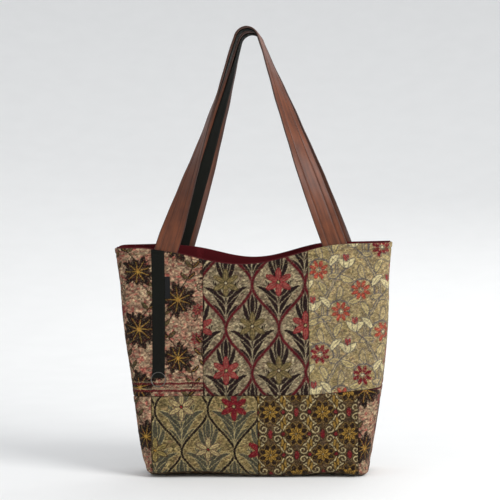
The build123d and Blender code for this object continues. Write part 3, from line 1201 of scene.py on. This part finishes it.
def strap_stitches(name, mirror, sways, hastes):
    """Two rows of stitches in the grooves of a strap."""
    pitch, length, radius = strap_stitch
    centres, runs, distances = [], [], []
    for distance in np.arange(first_stitch, half_length, pitch):
        for half, haste in zip((1, -1), hastes):
            here, across, inwards = strap_frame(distance, haste)
            after, after_across, after_inwards = strap_frame(distance + 1.0, haste)
            for line in (-groove_offset, groove_offset):
                lift = leather_wobble(distance, line) - strap_thickness / 2 + strap_stitch_sink
                start = here + line * across + lift * inwards
                run = after + line * after_across + lift * after_inwards - start
                centres.append(start * [half, mirror, 1])
                runs.append(run * [half, mirror, 1])
                distances.append(distance)
    centres = swayed(np.array(centres), np.array(distances), sways)
    mesh = capsules(name, centres, np.array(runs), length, radius)
    add_piece(name, mesh, thread, stands_in=False)


def make_strap(name, mirror, sways, hastes):
    """Leather, webbing and stitches of one strap; mirror is -1 for the back one."""
    section = leather_section()
    mesh = strap_mesh(name, section, mirror, sways, hastes)
    add_colours(mesh, "Burnish", np.repeat(np.tile(burnish(section), len(whole_stations)), 4))
    add_piece(name, mesh, leather)
    mesh = strap_mesh(f"{name}_webbing", webbing_section(), mirror, sways, hastes)
    add_piece(f"{name}_webbing", mesh, webbing_cloth)
    strap_stitches(f"{name}_stitches", mirror, sways, hastes)


make_strap("front_strap", 1, front_sway, front_haste)
make_strap("back_strap", -1, back_sway, back_haste)


def hem_stitches():
    """Line of stitches below the rim, all round the bag."""
    pitch, length, radius = hem_stitch
    lap = float(4 * quarter(rim_height))
    places = []
    for shift in (-0.5, 0.5):
        share = (np.arange(0, lap, pitch) + shift) / lap
        height = rim_over(lap * share) - hem_width
        places.append(wall(4 * quarter(height) * share, height, -hem_stitch_sink))
    mesh = capsules("hem_stitches", (places[0] + places[1]) / 2, places[1] - places[0], length, radius)
    add_piece("hem_stitches", mesh, hem_thread, stands_in=False)


hem_stitches()


# Webbing band, label tab and key ring
def sewn_strip(name, low, high, top, thickness, material):
    """Strip of ribbon on the bag's front, as wide as its node's box, with its edges down on the cloth."""
    across = np.linspace(low[0], high[0], 25)[None, :]
    up = np.linspace(0, 1, 150)[:, None]
    height = low[2] + (top(across) - low[2]) * up
    edge = np.minimum(np.minimum(across - low[0], high[0] - across), height - low[2])
    rise = relief + strip_gap + thickness(height) - turned(edge, strip_edge)
    points = wall(across + 0 * height, height, rise)
    return add_piece(name, grid_mesh(name, points, joined(height, across)), material)


def band_thickness(height):
    """The webbing, doubled at its folded foot and raised over the hem."""
    folded = band_fold_rise * smoothstep((band_low[2] + band_turn - height) / band_fold_ease)
    hemmed = band_hem_rise * smoothstep((height - band_high[2] + hem_width) / band_hem_ease)
    return band_rise + folded + hemmed


band = sewn_strip("front_band", band_low, band_high, rim_over, band_thickness, webbing_cloth)
label_top, label_rise = level(label_high[2]), level(label_thickness)
sewn_strip("label_tab", label_low, label_high, label_top, label_rise, label_cloth)


def make_key_ring():
    """Wire ring that hangs in the fold of the band."""
    middle = (ring_low + ring_high) / 2
    radius = (ring_high[0] - ring_low[0] - ring_wire) / 2
    tilt = atan2(waist_half_depth - rim_half_depth, hem_height - row_height)
    up = np.array([0, sin(tilt), cos(tilt)])
    out = np.array([0, -cos(tilt), sin(tilt)])
    turn = np.linspace(0, 2 * pi, 73)[:-1][:, None, None]
    section = np.linspace(0, 2 * pi, 13)[:-1][None, :, None]
    spoke = np.cos(turn) * np.array([1.0, 0, 0]) + np.sin(turn) * up
    wire = ring_wire / 2
    rings = middle + spoke * (radius + wire * np.cos(section)) + out * wire * np.sin(section)
    rings = np.concatenate([rings, rings[:1]])
    plan = joined(np.arange(rings.shape[0])[:, None], np.arange(rings.shape[1]))
    mesh = close_up(grid_mesh("key_ring", rings, plan, ring=True))
    add_piece("key_ring", mesh, steel_material("ring_steel"))


make_key_ring()


# Studio: its lights and camera are placed in metres
def make_floor():
    """Pale floor that sweeps up all round."""
    flat_reach, far, rise = 1600.0, 9000.0, 5200.0
    radii = np.concatenate([np.linspace(1, flat_reach, 8), np.linspace(flat_reach, far, 40)[1:]])[:, None]
    turn = np.linspace(0, 2 * pi, 97)[:-1]
    lift = rise * np.maximum(0, (radii - flat_reach) / (far - flat_reach)) ** 2
    rings = joined(radii * np.cos(turn), radii * np.sin(turn), lift)
    mesh = grid_mesh("studio_floor", rings, rings[:, :, :2], ring=True, flip=True)
    mesh.materials.append(studio_material("studio_paper"))
    return put("studio_floor", mesh)


def add_light(name, place, aim, size, power):
    """Soft square light that faces a point."""
    lamp = bpy.data.lights.new(name, "AREA")
    lamp.size = size
    lamp.energy = power
    light = put(name, lamp)
    light.location = place
    light.rotation_euler = (Vector(aim) - Vector(place)).to_track_quat("-Z", "Y").to_euler()
    return light


make_floor()
bag_middle = (0, 0, 0.3)
backdrop = (0, 5.5, 0.9)
lights = [
    ("key_light", (2.3, -1.8, 1.8), bag_middle, 1.4, 92),
    ("fill_light", (-2.2, -1.9, 1.2), bag_middle, 2.2, 4),
    ("back_light", (0.6, 2.4, 2.4), bag_middle, 2.0, 20),
    ("backdrop_light", (-0.4, 1.6, 3.2), backdrop, 2.5, 27),
]
for light in lights:
    add_light(*light)

world = bpy.data.worlds.new("studio_air")
world.use_nodes = True
air = world.node_tree.nodes["Background"].inputs
air["Color"].default_value = (0.93, 0.95, 1.0, 1.0)
air["Strength"].default_value = 0.66
bpy.context.scene.world = world
bpy.context.scene.view_settings.view_transform = "Standard"

# Camera at the photograph's angle
camera_azimuth = radians(7.0)
camera_distance = 2.2
camera_roll = radians(1.28)
camera_aim = Vector((-0.0066, 0, 0.3565))
camera_data = bpy.data.cameras.new("camera")
camera_data.lens = 98.6
camera_data.sensor_width = 36.0
camera = put("camera", camera_data)
toward = Vector((sin(camera_azimuth), -cos(camera_azimuth), 0))
camera.location = camera_aim + toward * camera_distance
level_turn = (-toward).to_track_quat("-Z", "Y")
camera.rotation_euler = (level_turn @ Quaternion((0, 0, 1), -camera_roll)).to_euler()
bpy.context.scene.camera = camera
